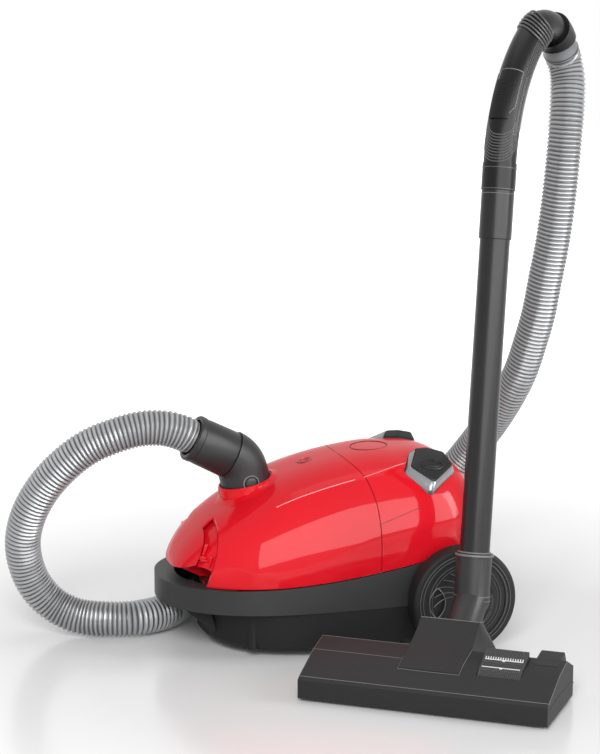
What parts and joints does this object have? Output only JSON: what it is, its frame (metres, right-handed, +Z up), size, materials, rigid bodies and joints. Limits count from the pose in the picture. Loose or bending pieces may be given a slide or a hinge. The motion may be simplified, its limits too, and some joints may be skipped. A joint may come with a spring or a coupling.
{
  "type": "canister vacuum cleaner",
  "caption": "Canister vacuum cleaner with a two-shell body, rear wheels, front caster, hose, wand with curved handle and floor head.",
  "frame": {"origin": "Centre of the bounding box in plan, at floor level, measured without the hose.", "axes": "X runs along the canister, nose at -X. Y runs across it, the floor head at -Y. Z is up."},
  "size_m": [0.6923, 0.6261, 0.7273],
  "materials": {
    "red_gloss": "glossy",
    "charcoal_satin": "satin",
    "black_plastic": "fine grain",
    "inner_plastic": "moulded",
    "tyre_black": "matte",
    "silver_bezel": "silver grey paint",
    "hose_grey": "ribbed",
    "clear_grey": "smooth",
    "steel": "plain",
    "motor_metal": "pressed",
    "carbon": "dull",
    "bag_paper": "fleece",
    "card": "board",
    "bristle": "bristles",
    "foam": "foam",
    "wand_black": "satin gloss"
  },
  "bodies": {
    "canister": {"bumper_band": "charcoal_satin", "lower_tray": "black_plastic", "rear_cover": "red_gloss", "badge_disc": "red_gloss", "bulkhead": "inner_plastic", "motor_filter": "foam", "front_motor_mount": "tyre_black", "fan_casing": "motor_metal", "motor_stator": "steel", "end_bracket": "motor_metal", "motor_bearings": "steel", "carbon_brushes": "carbon", "motor_cradle": "inner_plastic", "reel_frame": "inner_plastic", "reel_spring_case": "inner_plastic", "power_switch": "inner_plastic", "exhaust_grille": "black_plastic", "exhaust_filter": "foam", "cord_outlet": "black_plastic", "wheel_axles": "steel", "bag_holder": "inner_plastic", "bag_card": "card", "dust_bag": "bag_paper", "pedal_bezels": "silver_bezel", "body_screws": "steel"},
    "near_wheel": {"near_wheel_hub": "black_plastic", "near_tyre": "tyre_black"},
    "far_wheel": {"far_wheel_hub": "black_plastic", "far_tyre": "tyre_black"},
    "caster": {"caster_fork": "black_plastic", "caster_axle": "steel"},
    "caster_roller": {"caster_wheel": "tyre_black"},
    "motor_rotor": {"fan_impeller": "motor_metal", "motor_armature": "steel", "motor_shaft": "steel"},
    "cord_reel": {"reel_drum": "inner_plastic"},
    "reel_brake": {"reel_brake": "inner_plastic"},
    "power_pedal": {"power_pedal": "black_plastic"},
    "rewind_pedal": {"rewind_pedal": "black_plastic"},
    "lid": {"front_lid": "red_gloss", "lid_hinge_pins": "steel", "inlet_collar": "red_gloss", "inlet_elbow": "charcoal_satin", "indicator_lens": "red_gloss", "hose_front": "hose_grey"},
    "lid_latch": {"lid_latch": "red_gloss"},
    "elbow_button": {"elbow_button": "charcoal_satin"},
    "front_cuff": {"front_hose_cuff": "charcoal_satin"},
    "wand": {"neck_tube": "charcoal_satin", "wand_tube": "wand_black", "handle_pipe": "charcoal_satin", "hose_rear": "hose_grey"},
    "suction_slider": {"suction_slider": "black_plastic"},
    "rear_cuff": {"rear_hose_cuff": "clear_grey"},
    "head": {"head_shell": "charcoal_satin", "sole_plate": "black_plastic", "neck_block": "charcoal_satin", "neck_pins": "steel"},
    "rocker": {"rocker_pedal": "black_plastic"},
    "brush": {"brush_strip": "bristle"}
  },
  "joints": [
    {"name": "near_wheel_spin", "type": "hinge", "parent": "canister", "child": "near_wheel", "pos_m": [0.07395, 0.00365, 0.0625], "axis": [0, 1, 0], "continuous": true},
    {"name": "far_wheel_spin", "type": "hinge", "parent": "canister", "child": "far_wheel", "pos_m": [0.07395, 0.26565, 0.0625], "axis": [0, 1, 0], "continuous": true},
    {"name": "caster_swivel", "type": "hinge", "parent": "canister", "child": "caster", "pos_m": [-0.14805, 0.13465, 0.046], "axis": [0, 0, 1], "continuous": true},
    {"name": "caster_roll", "type": "hinge", "parent": "caster", "child": "caster_roller", "pos_m": [-0.13805, 0.13465, 0.018], "axis": [0, 1, 0], "continuous": true},
    {"name": "motor_spin", "type": "hinge", "parent": "canister", "child": "motor_rotor", "pos_m": [0.01395, 0.09665, 0.078], "axis": [1, 0, 0], "continuous": true},
    {"name": "reel_spin", "type": "hinge", "parent": "canister", "child": "cord_reel", "pos_m": [0.04395, 0.18065, 0.082], "axis": [0, 1, 0], "continuous": true},
    {"name": "rewind_press", "type": "slide", "parent": "canister", "child": "rewind_pedal", "axis": [-0.0747, -0.515, -0.8539], "range_m": [0, 0.004], "stiffness_N_per_m": 600},
    {"name": "brake_lift", "type": "hinge", "parent": "canister", "child": "reel_brake", "pos_m": [0.08395, 0.16065, 0.1424], "axis": [0, 1, 0], "range_deg": [0, 6]},
    {"name": "power_press", "type": "slide", "parent": "canister", "child": "power_pedal", "axis": [-0.0747, 0.515, -0.8539], "range_m": [0, 0.004], "stiffness_N_per_m": 600},
    {"name": "lid_open", "type": "hinge", "parent": "canister", "child": "lid", "pos_m": [-0.03805, 0.13465, 0.21429], "axis": [0, 1, 0], "range_deg": [0, 60], "deforming": ["hose_front"]},
    {"name": "latch_pull", "type": "hinge", "parent": "lid", "child": "lid_latch", "pos_m": [-0.19855, 0.13465, 0.124], "axis": [0, 1, 0], "range_deg": [0, 15], "stiffness_Nm_per_rad": 0.3},
    {"name": "button_press", "type": "slide", "parent": "lid", "child": "elbow_button", "axis": [0, 1, 0], "range_m": [0, 0.002], "stiffness_N_per_m": 400},
    {"name": "front_cuff_turn", "type": "hinge", "parent": "lid", "child": "front_cuff", "pos_m": [-0.18316, 0.13465, 0.22881], "axis": [-0.887, 0, 0.4617], "continuous": true},
    {"name": "wand_lift", "type": "slide", "parent": "canister", "child": "wand", "axis": [0, 0, 1], "range_m": [0, 0.25], "deforming": ["hose_rear"]},
    {"name": "slider_move", "type": "hinge", "parent": "wand", "child": "suction_slider", "pos_m": [0.26913, 0.15811, 0.52276], "axis": [-0.6838, 0.7289, -0.0324], "range_deg": [0, 4]},
    {"name": "rear_cuff_turn", "type": "hinge", "parent": "wand", "child": "rear_cuff", "pos_m": [0.23813, 0.13618, 0.68364], "axis": [0.4791, 0.4151, -0.7734], "continuous": true},
    {"name": "head_tilt", "type": "hinge", "parent": "wand", "child": "head", "pos_m": [0.03086, -0.09764, 0.045], "axis": [0.7986, -0.6018, 0], "range_deg": [-5, 54]},
    {"name": "rocker_tip", "type": "hinge", "parent": "head", "child": "rocker", "pos_m": [0.04634, -0.19258, 0.036], "axis": [0.7986, -0.6018, 0], "range_deg": [-8, 0]},
    {"name": "brush_raise", "type": "slide", "parent": "head", "child": "brush", "axis": [0, 0, 1], "range_m": [0, 0.004]}
  ],
  "couplings": [
    {"joint": "brake_lift", "follows": "rewind_press", "rad_per_m": 25.656},
    {"joint": "rocker_tip", "follows": "brush_raise", "rad_per_m": -34.209}
  ]
}
